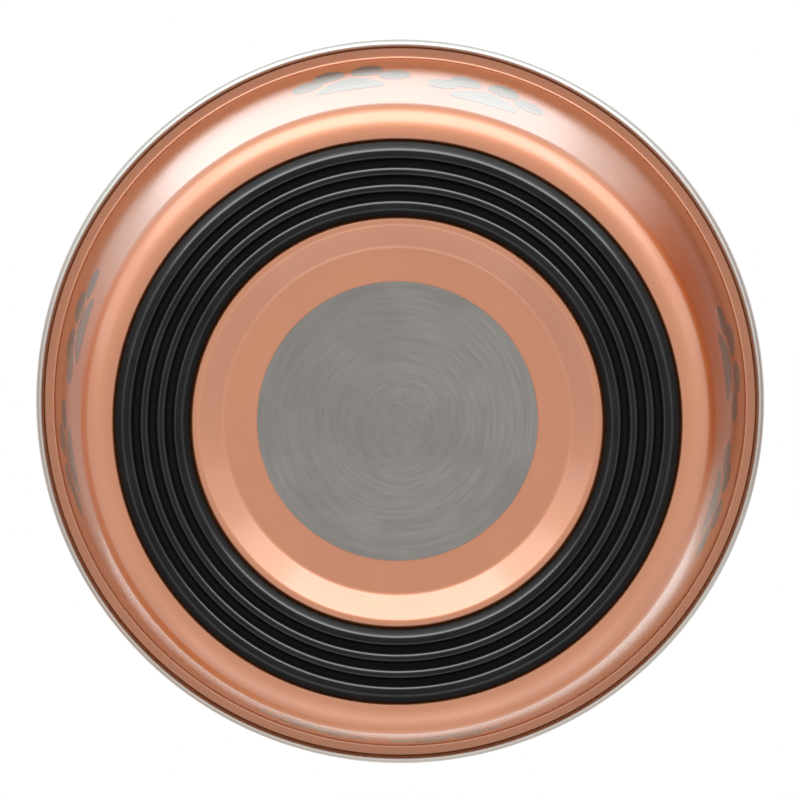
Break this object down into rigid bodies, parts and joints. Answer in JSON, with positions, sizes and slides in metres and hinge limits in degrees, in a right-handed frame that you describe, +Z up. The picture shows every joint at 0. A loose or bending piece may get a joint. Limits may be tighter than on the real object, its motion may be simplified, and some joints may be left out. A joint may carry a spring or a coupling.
{
  "type": "slow feeder dog bowl",
  "caption": "Round slow-feed pet bowl: copper-coloured pressed shell, steel liner with a central hump and rolled rim, ribbed rubber ring under the base.",
  "frame": {"origin": "centre of the circle that the rubber ring stands on, at the table's surface", "axes": "+Z up along the bowl's own axis, out of its mouth; -Y is the front, where one pair of paw marks is; +X is to the right seen from the front"},
  "size_m": [0.21, 0.21, 0.062],
  "materials": {
    "copper_finish": "satin copper-coloured plating on pressed steel",
    "liner_steel": "spun stainless steel with a polished rolled rim",
    "ring_rubber": "black moulded rubber, satin ribs",
    "glue_film": "cured contact glue",
    "label_foil": "matt grey foil, blank"
  },
  "bodies": {
    "root": {"outer_shell": "copper_finish", "inner_bowl": "liner_steel", "base_ring": "ring_rubber", "ring_adhesive": "glue_film", "base_label": "label_foil"}
  },
  "joints": []
}
